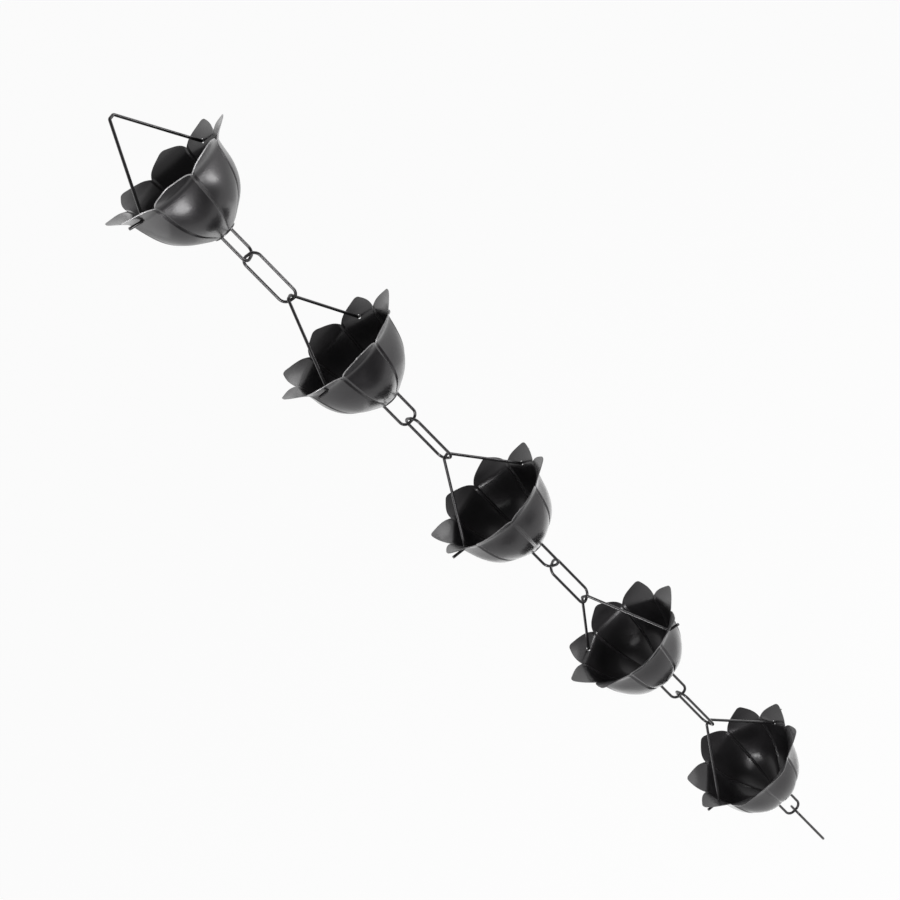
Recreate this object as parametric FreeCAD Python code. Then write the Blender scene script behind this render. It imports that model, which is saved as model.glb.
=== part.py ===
import FreeCAD
import Part
import math
import os

# All sizes in mm. +Z is up. The origin is the seat under the flat top of the
# first hanger, where the eye of a gutter carries the chain.

# Chain
unit_count = 5
unit_pitch = 243.0              # from the top of one hanger to the top of the next
wire_diameter = 3.2
hang_gap = 0.3                  # left between two wires that hang in each other

# How far each piece has turned about the line of the chain, in degrees
cup_turns = (37.4, 50.5, 23.7, -46.4, 14.9)
loop_turns = (50.0, 2.0, -45.0, -8.0, 3.0)
link_turns = (-30.0, -63.0, 43.0, -75.0, 90.0)

# Cup
petal_count = 8
sheet = 1.0
cup_drop = 151.5                # from the wire at the top of a hanger to the foot of its cup
neck_radius = 12.6
neck_height = 1.2
tip_radius = 77.0
notch_radius = 61.6
neck_bevel = 0.6                # inside the top of the neck, where the floor of the cup starts
tip_curve = 8.0                 # radius of the rounded end of a petal, seen from above
tip_lean = 31.0                 # degrees that this end turns to each side
edge_reach = 19.4               # how far along its tangent the end pulls the edge of the petal
groove_half_angle = 2.3         # degrees, half the width of the groove between petals

# Height above the foot, radius at the middle of a petal, radius beside the
# groove, and depth of the groove
wall_rows = (
    (neck_height, neck_radius, neck_radius, 0.0),
    (6.0, 21.2, 20.0, 0.6),
    (14.0, 32.6, 31.0, 1.1),
    (26.0, 44.8, 43.6, 1.4),
    (38.5, 51.6, 51.4, 1.4),
    (51.5, 55.0, 56.0, 1.3),
)

# Lip: it bends outward from the wall, as a parabola at the middle of a petal
lip_start = 64.0                # above the foot
lip_radius = 56.6               # at the middle of a petal, where the lip starts
lip_curve = 8.34                # radius of the bend where the lip starts

# Height above the start of the lip, how far out the sides of a petal stand
# beyond its middle, and depth of the groove
lip_rows = (
    (0.0, 2.4, 1.0),
    (5.0, 2.1, 0.7),
    (9.0, 1.2, 0.4),
    (12.5, 0.4, 0.2),
    (15.5, 0.0, 0.0),
    (18.0, 0.0, 0.0),
    (20.5, 0.0, 0.0),
)

# Hanger
hanger_flat = 7.0               # between the corners of its top
hanger_top_bend = 2.6
hook_height = 70.7              # of the wire above the foot of the cup, where it crosses the sheet
hook_slope = -25.0              # degrees, of the wire where it crosses the sheet
hook_bend = 5.0
hook_rise = 18.0                # degrees that the end rises outside the cup
hook_short = 0.8                # the end stops this far inside the tip of the petal
hook_hole_radius = 2.4
hook_gap = 0.7                  # above the wire, so that the cup can swing
hook_cut = 4.0                  # how far a hole is cut to each side of the sheet

# Bottom loop
loop_width = 2 * (neck_radius - sheet - hang_gap) - wire_diameter
loop_drop = 35.5                # from the foot of the cup to the wire at the bottom
loop_corner = 7.5
splay_rise = 37.0               # degrees, as steep as the floor of the cup beside the neck
splay_bend = 3.2
splay_gap = 0.45                # between the splayed ends and the edge of the neck
splay_length = 11.0

# Link
link_width = 20.0
link_corner = 8.0

wire_radius = wire_diameter / 2
wire_step = wire_diameter + hang_gap
link_length = unit_pitch - cup_drop - loop_drop + 2 * wire_step
petal_angle = 360.0 / petal_count
loft_degree = 3                 # smooth between the rows, with no waves near the lip
up = FreeCAD.Vector(0, 0, 1)


def flat(x, z):
    return FreeCAD.Vector(x, 0, z)


def polar(radius, degrees, z):
    angle = math.radians(degrees)
    return FreeCAD.Vector(radius * math.cos(angle), radius * math.sin(angle), z)


def slope(degrees):
    return polar(1, degrees, 0).x, polar(1, degrees, 0).y


def rounded_path(corners, radii):
    # straight runs between the corners, with an arc at each inner corner
    edges = []
    start = corners[0]
    for before, corner, after, radius in zip(corners, corners[1:], corners[2:], radii):
        back = (before - corner).normalize()
        ahead = (after - corner).normalize()
        half = back.getAngle(ahead) / 2
        reach = radius / math.tan(half)
        middle = (back + ahead).normalize() * (radius / math.sin(half) - radius)
        arc_start = corner + back * reach
        arc_end = corner + ahead * reach
        edges.append(Part.makeLine(start, arc_start))
        edges.append(Part.Arc(arc_start, corner + middle, arc_end).toShape())
        start = arc_end
    edges.append(Part.makeLine(start, corners[-1]))
    return Part.Wire(edges)


def bent_wire(corners, radii):
    section = Part.makeCircle(wire_radius, corners[0], corners[1] - corners[0])
    path = rounded_path(corners, radii)
    return path.makePipeShell([Part.Wire(section)], True, False)


def hook_corner(hook_point):
    # where the leg, which touches the bend from outside, meets the line of the end
    top = flat(hanger_flat / 2, cup_drop)
    out, rise = slope(hook_slope)
    centre = hook_point + flat(-rise, out) * hook_bend
    to_centre = math.degrees(math.atan2(centre.z - top.z, centre.x - top.x))
    leg = to_centre - math.degrees(math.asin(hook_bend / (centre - top).Length))
    half_turn = math.radians((hook_rise - leg) / 2)
    across, drop = slope((leg + hook_rise) / 2 - 90)
    return centre + flat(across, drop) * (hook_bend / math.cos(half_turn))


def hanger(hook_point):
    # drawn in the frame of its cup, with the foot of the cup at the origin
    corner = hook_corner(hook_point)
    out, rise = slope(hook_rise)
    run = tip_radius - hook_short - corner.x
    right = [
        flat(hanger_flat / 2, cup_drop),
        corner,
        corner + flat(out, rise) * (run / out),
    ]
    left = [flat(-point.x, point.z) for point in reversed(right)]
    bends = [hook_bend, hanger_top_bend, hanger_top_bend, hook_bend]
    return bent_wire(left + right, bends)


def cup_section(height, middle, side, groove):
    # eight arcs across the petals, joined by a small groove between each two
    edges = []
    half = petal_angle / 2
    for number in range(petal_count):
        turn = number * petal_angle
        start = polar(side, turn - half + groove_half_angle, height)
        end = polar(side, turn + half - groove_half_angle, height)
        bottom = polar(side - groove, turn + half, height)
        after = polar(side, turn + half + groove_half_angle, height)
        edges.append(Part.Arc(start, polar(middle, turn, height), end).toShape())
        edges.append(Part.makeLine(end, bottom))
        edges.append(Part.makeLine(bottom, after))
    return Part.Wire(edges)


def lip_row(rise, stand, groove):
    middle = lip_radius + rise ** 2 / (2 * lip_curve)
    return lip_start + rise, middle, middle + stand, groove


def inner_rows(cup_rows):
    # the rows moved inward by the sheet, square to the side of the cup
    rows = [(neck_height + neck_bevel, neck_radius - sheet, neck_radius - sheet, 0.0)]
    for below, row, above in zip(cup_rows, cup_rows[1:], cup_rows[2:] + cup_rows[-1:]):
        height, middle, side, groove = row
        lean = math.atan2(above[1] - below[1], above[0] - below[0])
        inward = sheet * math.cos(lean)
        raised = height + sheet * math.sin(lean)
        rows.append((raised, middle - inward, side - inward, groove))
    return rows


def curve(points):
    bezier = Part.BezierCurve()
    bezier.setPoles(list(points))
    return bezier.toShape()


def petal_outline():
    # seen from above, each petal is a pointed arch with a rounded end
    edges = []
    half = petal_angle / 2
    along, back = slope(tip_lean)
    for number in range(petal_count):
        turn = number * petal_angle
        tip = polar(tip_radius, turn, 0)
        inward = polar(-1, turn, 0)
        ends = []
        for side in (-1, 1):
            notch = polar(notch_radius, turn + side * half, 0)
            across = polar(side, turn + 90, 0)
            shoulder = tip + (across * back + inward * (1 - along)) * tip_curve
            pull = shoulder + (across * along + inward * back) * edge_reach
            ends.append((notch, pull, shoulder))
        first, second = ends
        edges.append(curve(first))
        edges.append(Part.Arc(first[2], tip, second[2]).toShape())
        edges.append(curve(second[::-1]))
    return Part.Wire(edges)


def hook_hole(hook_point):
    # low enough for the wire to lie at the top of the hole
    out, rise = slope(hook_slope)
    low = hook_hole_radius - wire_radius - hook_gap
    axis = flat(out, rise)
    start = hook_point - flat(-rise, out) * low - axis * hook_cut
    return Part.makeCylinder(hook_hole_radius, 2 * hook_cut, start, axis)


def bowl(rows):
    sections = [cup_section(*row) for row in rows]
    return Part.makeLoft(sections, True, False, False, loft_degree)


def hook_place(outer, reach):
    # in the middle of the sheet, at the height of the hooks
    ray = Part.makeLine(flat(0, hook_height), flat(reach, hook_height))
    return flat(outer.common(ray).Length - sheet / 2, hook_height)


def cup(outer, inner, hook_point):
    height = inner.BoundBox.ZMax
    outline = Part.Face(petal_outline()).extrude(up * height)
    neck = Part.makeCylinder(neck_radius, neck_height)
    bore = Part.makeCylinder(neck_radius - sheet, neck_height + sheet)
    body = outer.cut(inner).common(outline).fuse(neck).cut(bore)
    hole = hook_hole(hook_point)
    opposite = hole.copy()
    opposite.rotate(FreeCAD.Vector(), up, 180)
    return body.cut(hole).cut(opposite)


def bottom_loop():
    half = loop_width / 2
    out, rise = slope(splay_rise)
    edge = flat(neck_radius - sheet, neck_height + neck_bevel)
    lift = edge + flat(-rise, out) * (wire_radius + splay_gap)
    corner = flat(half, lift.z - (lift.x - half) * rise / out)
    right = [
        flat(half, -loop_drop),
        corner,
        corner + flat(out, rise) * splay_length,
    ]
    left = [flat(-point.x, point.z) for point in reversed(right)]
    return bent_wire(left + right, [splay_bend, loop_corner, loop_corner, splay_bend])


def link():
    # drawn with the middle of its lower run at the origin, in two halves
    half = link_width / 2
    bends = [link_corner, link_corner]
    middle = link_length / 2
    halves = []
    for end in (0, link_length):
        corners = [
            flat(-half, middle),
            flat(-half, end),
            flat(half, end),
            flat(half, middle),
        ]
        halves.append(bent_wire(corners, bends))
    return halves[0].fuse(halves[1]).removeSplitter()


def place(shape, turn, z):
    placed = shape.copy()
    placed.rotate(FreeCAD.Vector(), up, turn)
    placed.translate(up * z)
    return placed


os.makedirs("parts", exist_ok=True)
cup_rows = wall_rows + tuple(lip_row(*row) for row in lip_rows)
outer = bowl(cup_rows)
inner = bowl(inner_rows(cup_rows))
hook_point = hook_place(outer, cup_rows[-1][1])
one_hanger = hanger(hook_point)
one_cup = cup(outer, inner, hook_point)
one_loop = bottom_loop()
one_link = link()
for number in range(unit_count):
    top = wire_radius - number * unit_pitch
    foot = top - cup_drop
    next_top = top - unit_pitch
    pieces = {
        "hanger": place(one_hanger, cup_turns[number], foot),
        "cup": place(one_cup, cup_turns[number], foot),
        "bottom_loop": place(one_loop, loop_turns[number], foot),
        "link": place(one_link, link_turns[number], next_top - wire_step),
    }
    for name, shape in pieces.items():
        shape.exportStep(f"parts/{name}_{number + 1}.step")
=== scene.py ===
import bpy
import math
from mathutils import Matrix, Vector


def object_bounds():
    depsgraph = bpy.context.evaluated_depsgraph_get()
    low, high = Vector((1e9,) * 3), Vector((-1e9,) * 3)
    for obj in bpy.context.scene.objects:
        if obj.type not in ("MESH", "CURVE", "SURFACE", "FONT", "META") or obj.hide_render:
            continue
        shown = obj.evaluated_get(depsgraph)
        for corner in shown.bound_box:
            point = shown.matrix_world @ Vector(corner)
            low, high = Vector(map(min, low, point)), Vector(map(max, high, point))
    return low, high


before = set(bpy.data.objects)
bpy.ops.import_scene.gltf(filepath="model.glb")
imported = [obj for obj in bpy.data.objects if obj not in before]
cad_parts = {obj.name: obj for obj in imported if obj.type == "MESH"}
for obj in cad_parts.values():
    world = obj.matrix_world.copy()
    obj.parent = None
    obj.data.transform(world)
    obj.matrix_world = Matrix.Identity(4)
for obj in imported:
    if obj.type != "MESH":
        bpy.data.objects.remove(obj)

scene = bpy.context.scene
scene.view_settings.view_transform = "Standard"
cadBox = [list(corner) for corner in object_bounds()]


# node helpers

def addNode(tree, kind, place, **values):
    node = tree.nodes.new(kind)
    node.location = (place[0] * 200, place[1] * -160)
    for name, value in values.items():
        setattr(node, name, value)
    return node


def setInputs(node, **values):
    for name, value in values.items():
        node.inputs[name.replace("_", " ")].default_value = value


def ramp(tree, place, source, low, high, toLow, toHigh):
    node = addNode(tree, "ShaderNodeMapRange", place, interpolation_type="SMOOTHSTEP")
    setInputs(node, From_Min=low, From_Max=high, To_Min=toLow, To_Max=toHigh)
    tree.links.new(source, node.inputs["Value"])
    return node.outputs["Result"]


def maths(tree, place, operation, *values):
    node = addNode(tree, "ShaderNodeMath", place, operation=operation)
    for socket, value in zip(node.inputs, values):
        if isinstance(value, (int, float)):
            socket.default_value = value
        else:
            tree.links.new(value, socket)
    return node.outputs["Value"]


# powder coat, shared by the cups and the wires

coatInputs = ("Grain", "Dust", "Rough", "EdgeSheen", "Radius")
coatOutputs = ("Shade", "Roughness", "Edge", "Height")
coatValues = {
    "waves": 38.0,                # per metre, where the coat lies thicker or thinner
    "waveRange": (0.3, 0.7),      # of the noise, from thick to thin
    "waveShade": 0.55,            # how far the waves turn the colour to dusty
    "waveRough": 0.07,            # added to the roughness where the coat is thin
    "grainRough": 0.06,           # and on the grains
    "specks": 420.0,              # per metre
    "speckRange": (0.6, 0.78),
    "edgeSamples": 6,
    "edgeRange": (0.78, 0.97),    # cosine between the rounded and the plain surface
    "patchRange": (0.3, 0.6),
    "patchLeast": 0.35,           # share of the painted edge highlight that is left where the waves are low
}


def makeCoatGroup():
    values = coatValues
    group = bpy.data.node_groups.new("powderCoat", "ShaderNodeTree")
    for name in coatInputs:
        group.interface.new_socket(name, in_out="INPUT", socket_type="NodeSocketFloat")
    for name in coatOutputs:
        group.interface.new_socket(name, in_out="OUTPUT", socket_type="NodeSocketFloat")
    group.interface.new_socket("Round", in_out="OUTPUT", socket_type="NodeSocketVector")
    entry = addNode(group, "NodeGroupInput", (0, 0))
    leave = addNode(group, "NodeGroupOutput", (8, 0))
    where = addNode(group, "ShaderNodeTexCoord", (0, 2)).outputs["Object"]

    # fine grain of the baked powder
    grain = addNode(group, "ShaderNodeTexNoise", (2, 0))
    setInputs(grain, Detail=3.0, Roughness=0.6)
    group.links.new(where, grain.inputs["Vector"])
    group.links.new(entry.outputs["Grain"], grain.inputs["Scale"])

    # slow waves where the coat lies thicker or thinner
    wave = addNode(group, "ShaderNodeTexNoise", (2, 2))
    setInputs(wave, Scale=values["waves"], Detail=4.0, Roughness=0.55, Distortion=0.4)
    group.links.new(where, wave.inputs["Vector"])

    # small specks of dust
    speck = addNode(group, "ShaderNodeTexNoise", (2, 4))
    setInputs(speck, Scale=values["specks"], Detail=2.0, Roughness=0.7)
    group.links.new(where, speck.inputs["Vector"])
    specks = ramp(group, (4, 4), speck.outputs["Fac"], *values["speckRange"], 0.0, 1.0)
    slow = ramp(group, (4, 2), wave.outputs["Fac"], *values["waveRange"], 0.0, 1.0)
    dust = maths(group, (5, 3), "MULTIPLY", specks, entry.outputs["Dust"])
    waved = maths(group, (5, 2), "MULTIPLY", slow, values["waveShade"])
    group.links.new(maths(group, (6, 2), "ADD", waved, dust), leave.inputs["Shade"])

    # the gloss changes with the waves and the grain
    plainRough = entry.outputs["Rough"]
    waveRough = maths(group, (5, 1), "MULTIPLY_ADD", slow, values["waveRough"], plainRough)
    fine = grain.outputs["Fac"]
    fineRough = maths(group, (6, 1), "MULTIPLY_ADD", fine, values["grainRough"], waveRough)
    group.links.new(fineRough, leave.inputs["Roughness"])

    # painted highlight along sharp edges, which are a little rounded: the mask lightens the colour
    # there in place of their shine
    rounded = addNode(group, "ShaderNodeBevel", (1, 6), samples=values["edgeSamples"])
    group.links.new(entry.outputs["Radius"], rounded.inputs["Radius"])
    plain = addNode(group, "ShaderNodeNewGeometry", (1, 7))
    turn = addNode(group, "ShaderNodeVectorMath", (2, 6), operation="DOT_PRODUCT")
    group.links.new(rounded.outputs["Normal"], turn.inputs[0])
    group.links.new(plain.outputs["Normal"], turn.inputs[1])
    sharp = ramp(group, (4, 6), turn.outputs["Value"], *values["edgeRange"], 1.0, 0.0)
    patchy = ramp(group, (4, 7), wave.outputs["Fac"], *values["patchRange"], values["patchLeast"], 1.0)
    patchyEdges = maths(group, (5, 6), "MULTIPLY", sharp, patchy)
    sheenEdges = maths(group, (6, 6), "MULTIPLY", patchyEdges, entry.outputs["EdgeSheen"])
    group.links.new(sheenEdges, leave.inputs["Edge"])
    group.links.new(rounded.outputs["Normal"], leave.inputs["Round"])
    group.links.new(fine, leave.inputs["Height"])
    return group


coatGroup = makeCoatGroup()


rimValues = {
    "tilt": (0.2, 0.4),           # height of the normal, from full painted rim highlight to none
    "patch": (0.0, 0.7),          # shade of the coat, from least to full painted rim highlight
    "sheenLeast": 0.4,               # share of the painted rim highlight that is left where the coat shade is low
}


def cutEdge(tree, place, values, shade):
    # painted highlight on the cut faces at the lip: they stand upright, and nothing else does so far
    # out
    column, row = place
    face = addNode(tree, "ShaderNodeNewGeometry", (column, row))
    own = addNode(tree, "ShaderNodeVectorTransform", (column + 1, row), vector_type="NORMAL")
    own.convert_from = "WORLD"
    own.convert_to = "OBJECT"
    tree.links.new(face.outputs["True Normal"], own.inputs["Vector"])
    tilt = addNode(tree, "ShaderNodeSeparateXYZ", (column + 2, row))
    tree.links.new(own.outputs["Vector"], tilt.inputs["Vector"])
    height = maths(tree, (column + 3, row), "ABSOLUTE", tilt.outputs["Z"])
    upright = ramp(tree, (column + 4, row), height, *rimValues["tilt"], 1.0, 0.0)
    where = addNode(tree, "ShaderNodeTexCoord", (column, row + 1))
    flat = addNode(tree, "ShaderNodeVectorMath", (column + 1, row + 1), operation="MULTIPLY")
    flat.inputs[1].default_value = (1.0, 1.0, 0.0)
    tree.links.new(where.outputs["Object"], flat.inputs[0])
    radius = addNode(tree, "ShaderNodeVectorMath", (column + 2, row + 1), operation="LENGTH")
    tree.links.new(flat.outputs["Vector"], radius.inputs[0])
    outside = maths(tree, (column + 3, row + 1), "GREATER_THAN", radius.outputs["Value"], values["rim"])
    cut = maths(tree, (column + 5, row), "MULTIPLY", upright, outside)
    paintedSheen = values["paintedSheen"]
    least = rimValues["sheenLeast"] * paintedSheen
    patchy = ramp(tree, (column + 4, row + 2), shade, *rimValues["patch"], least, paintedSheen)
    return maths(tree, (column + 6, row), "MULTIPLY", cut, patchy)


def makeCoat(name, values):
    material = bpy.data.materials.new(name)
    material.use_nodes = True
    tree = material.node_tree
    shader = tree.nodes["Principled BSDF"]
    shader.inputs["Specular IOR Level"].default_value = values["shine"]
    shader.inputs["Specular Tint"].default_value = (*values["tint"], 1.0)
    shader.inputs["Coat Weight"].default_value = values["gloss"]
    shader.inputs["Coat Roughness"].default_value = values["glossRough"]
    coat = addNode(tree, "ShaderNodeGroup", (-6, 0), node_tree=coatGroup)
    for socket in coatInputs:
        coat.inputs[socket].default_value = values[socket.lower()]
    shade = addNode(tree, "ShaderNodeMix", (-4, 0), data_type="RGBA")
    shade.inputs["A"].default_value = (*values["deep"], 1.0)
    shade.inputs["B"].default_value = (*values["dusty"], 1.0)
    tree.links.new(coat.outputs["Shade"], shade.inputs["Factor"])
    edge = addNode(tree, "ShaderNodeMix", (-2, 0), data_type="RGBA")
    edge.inputs["B"].default_value = (*values["edge"], 1.0)
    tree.links.new(shade.outputs["Result"], edge.inputs["A"])
    paintedSheen = coat.outputs["Edge"]
    # the cups add the painted rim highlight of their cut faces
    if "rim" in values:
        cut = cutEdge(tree, (-12, 4), values, coat.outputs["Shade"])
        paintedSheen = maths(tree, (-3, 2), "MAXIMUM", paintedSheen, cut)
    tree.links.new(paintedSheen, edge.inputs["Factor"])
    tree.links.new(edge.outputs["Result"], shader.inputs["Base Color"])
    tree.links.new(coat.outputs["Roughness"], shader.inputs["Roughness"])
    bump = addNode(tree, "ShaderNodeBump", (-2, 3))
    setInputs(bump, Strength=values["bump"], Distance=values["bumpDepth"])
    tree.links.new(coat.outputs["Height"], bump.inputs["Height"])
    tree.links.new(coat.outputs["Round"], bump.inputs["Normal"])
    tree.links.new(bump.outputs["Normal"], shader.inputs["Normal"])
    return material


cupCoat = {
    "deep": (0.008, 0.0076, 0.0082),
    "dusty": (0.016, 0.0152, 0.0163),
    # pale colour of the painted highlight on the edges
    "edge": (0.7, 0.69, 0.7),
    "rim": 0.0605,                # the lip is cut farther out than this
    "grain": 650.0,               # per metre
    "dust": 0.35,
    "rough": 0.3,
    # strength of the painted edge highlight
    "edgesheen": 0.2,
    "radius": 0.0008,             # of the rounded edges, less than the sheet is thick
    "shine": 0.3,
    "tint": (1.0, 0.955, 1.0),    # the shine is a little violet
    "gloss": 0.6,                 # tighter shine of the baked skin
    "glossRough": 0.2,
    "bump": 0.45,
    "bumpDepth": 0.0003,
}

paintedRimSheen = {                       # strength of the painted highlight on the cut edge of each cup, strongest on the top cup
    "cup_1": 1.0,
    "cup_2": 0.5,
    "cup_3": 0.25,
    "cup_4": 0.2,
    "cup_5": 0.2,
}

wireCoat = {
    "deep": (0.006, 0.0057, 0.0062),
    "dusty": (0.012, 0.0115, 0.0123),
    # faint colour of the painted highlight on the wire edges
    "edge": (0.08, 0.08, 0.082),
    "grain": 1600.0,
    "dust": 0.06,
    "rough": 0.3,
    "edgesheen": 0.3,
    "radius": 0.0002,
    "shine": 0.6,
    "tint": (1.0, 0.97, 1.0),
    "gloss": 0.4,
    "glossRough": 0.12,
    "bump": 0.03,
    "bumpDepth": 0.0001,
}


def dressNodes():
    cupMaterials = {}
    for name, paintedSheen in paintedRimSheen.items():
        cupMaterials[name] = makeCoat(name + "_coat", {**cupCoat, "paintedSheen": paintedSheen})
    wireMaterial = makeCoat("wire_coat", wireCoat)
    for name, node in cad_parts.items():
        material = cupMaterials.get(name, wireMaterial)
        node.data.materials.clear()
        node.data.materials.append(material)
    print("coats: set on", len(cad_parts), "nodes")


dressNodes()


# stage

stageValues = {
    "floorDrop": 0.06,            # under the lowest link
    "floorFront": -0.55,
    "floorBack": 60.0,
    "floorSide": 40.0,
    "floorColour": (0.88, 0.88, 0.88),
    "floorShown": 0.94,           # share of plain white that the camera sees on the floor
    "ambient": 0.45,
    "frontRange": (-0.75, 0.05),  # how far back a reflection points, from dim to white
    "frontShade": 0.06,           # how bright the side behind the camera is in reflections
    "ceilingRange": (0.72, 0.92),  # how far up it points, from white to dim
    "ceilingShade": 0.4,
}


def backdropRays(tree, path, place):
    column, row = place
    rays = path.outputs
    seen = maths(tree, (column, row), "MAXIMUM", rays["Is Camera Ray"], rays["Is Glossy Ray"])
    return maths(tree, (column + 1, row), "MAXIMUM", seen, rays["Is Transmission Ray"])


def makeFloor():
    values = stageValues
    low = cadBox[0][2] - values["floorDrop"]
    mesh = bpy.data.meshes.new("floor")
    side = values["floorSide"]
    front = values["floorFront"]
    back = values["floorBack"]
    corners = [(-side, front, low), (side, front, low), (side, back, low), (-side, back, low)]
    mesh.from_pydata(corners, [], [(0, 1, 2, 3)])
    floor = bpy.data.objects.new("floor", mesh)
    scene.collection.objects.link(floor)
    material = bpy.data.materials.new("paleFloor")
    material.use_nodes = True
    tree = material.node_tree
    tree.nodes.remove(tree.nodes["Principled BSDF"])
    matt = addNode(tree, "ShaderNodeBsdfDiffuse", (-2, 2))
    matt.inputs["Color"].default_value = (*values["floorColour"], 1.0)
    white = addNode(tree, "ShaderNodeEmission", (-2, 3))
    white.inputs["Color"].default_value = (1.0, 1.0, 1.0, 1.0)
    path = addNode(tree, "ShaderNodeLightPath", (-6, 0))
    seen = backdropRays(tree, path, (-5, 0))
    share = maths(tree, (-3, 0), "MULTIPLY", seen, values["floorShown"])
    mix = addNode(tree, "ShaderNodeMixShader", (-1, 1))
    tree.links.new(share, mix.inputs["Fac"])
    tree.links.new(matt.outputs["BSDF"], mix.inputs[1])
    tree.links.new(white.outputs["Emission"], mix.inputs[2])
    tree.links.new(mix.outputs["Shader"], tree.nodes["Material Output"].inputs["Surface"])
    mesh.materials.append(material)


def makeWorld():
    values = stageValues
    world = bpy.data.worlds.new("studio")
    scene.world = world
    world.use_nodes = True
    tree = world.node_tree
    light = tree.nodes["Background"]
    path = addNode(tree, "ShaderNodeLightPath", (-8, 0))
    seen = backdropRays(tree, path, (-7, 0))
    # the side behind the camera and the ceiling are dim in reflections, the rest is white
    where = addNode(tree, "ShaderNodeTexCoord", (-8, 3))
    toward = addNode(tree, "ShaderNodeSeparateXYZ", (-6, 3))
    tree.links.new(where.outputs["Generated"], toward.inputs["Vector"])
    front = ramp(tree, (-5, 3), toward.outputs["Y"], *values["frontRange"], values["frontShade"], 1.0)
    upward = toward.outputs["Z"]
    ceiling = ramp(tree, (-5, 4), upward, *values["ceilingRange"], 1.0, values["ceilingShade"])
    room = maths(tree, (-4, 3), "MULTIPLY", front, ceiling)
    shown = addNode(tree, "ShaderNodeMix", (-3, 2), data_type="FLOAT")
    shown.inputs["B"].default_value = 1.0
    tree.links.new(path.outputs["Is Camera Ray"], shown.inputs["Factor"])
    tree.links.new(room, shown.inputs["A"])
    level = addNode(tree, "ShaderNodeMix", (-2, 1), data_type="FLOAT")
    level.inputs["A"].default_value = values["ambient"]
    tree.links.new(seen, level.inputs["Factor"])
    tree.links.new(shown.outputs["Result"], level.inputs["B"])
    light.inputs["Color"].default_value = (1.0, 1.0, 1.0, 1.0)
    tree.links.new(level.outputs["Result"], light.inputs["Strength"])


lamps = {
    "softLeft": {"at": (-0.53, -1.13, -0.53), "aim": (0.0, 0.0, -0.2), "size": 0.42, "power": 9.0},
    "softRight": {"at": (1.3, -0.62, -0.62), "aim": (0.0, 0.0, -0.2), "size": 0.36, "power": 7.0},
    "softSide": {"at": (-1.9, 0.5, -0.9), "aim": (0.0, 0.0, -0.5), "size": 1.1, "power": 3.0},
    "softFront": {"at": (-0.35, -1.25, -0.45), "aim": (0.0, 0.0, -1.1), "size": 0.8, "power": 4.0},
    "softFloor": {"at": (0.1, 0.55, -1.25), "aim": (0.1, 0.55, 0.0), "size": 1.0, "power": 2.0},
    "softHigh": {"at": (0.9, 0.95, 0.4), "aim": (0.0, 0.0, -0.4), "size": 0.75, "power": 3.4},
}


def addLamps():
    for name, values in lamps.items():
        data = bpy.data.lights.new(name, "AREA")
        data.shape = "SQUARE"
        data.size = values["size"]
        data.energy = values["power"]
        lamp = bpy.data.objects.new(name, data)
        lamp.location = values["at"]
        ahead = Vector(values["aim"]) - Vector(values["at"])
        lamp.rotation_euler = ahead.to_track_quat("-Z", "Y").to_euler()
        lamp.visible_camera = False
        scene.collection.objects.link(lamp)
    print("lamps:", ", ".join(lamps))


photoView = {
    "at": (0.007454, -1.521698, 0.206636),
    "down": 24.385,               # degrees below level
    "roll": 44.488,               # degrees, because the photo shows the chain on a slant
    "lens": 63.289,
    "sensor": 36.0,
}


def addCamera():
    down = math.radians(photoView["down"])
    roll = math.radians(photoView["roll"])
    ahead = Vector((0.0, math.cos(down), -math.sin(down)))
    level = Vector((1.0, 0.0, 0.0))
    below = ahead.cross(level)
    side = level * math.cos(roll) + below * math.sin(roll)
    upward = level * math.sin(roll) - below * math.cos(roll)
    turn = Matrix((side, upward, -ahead)).transposed().to_4x4()
    data = bpy.data.cameras.new("camera")
    data.sensor_width = photoView["sensor"]
    data.lens = photoView["lens"]
    camera = bpy.data.objects.new("camera", data)
    camera.matrix_world = Matrix.Translation(photoView["at"]) @ turn
    scene.collection.objects.link(camera)
    scene.camera = camera


makeFloor()
makeWorld()
addLamps()
addCamera()
print("stage: floor, world, lamps and camera set")
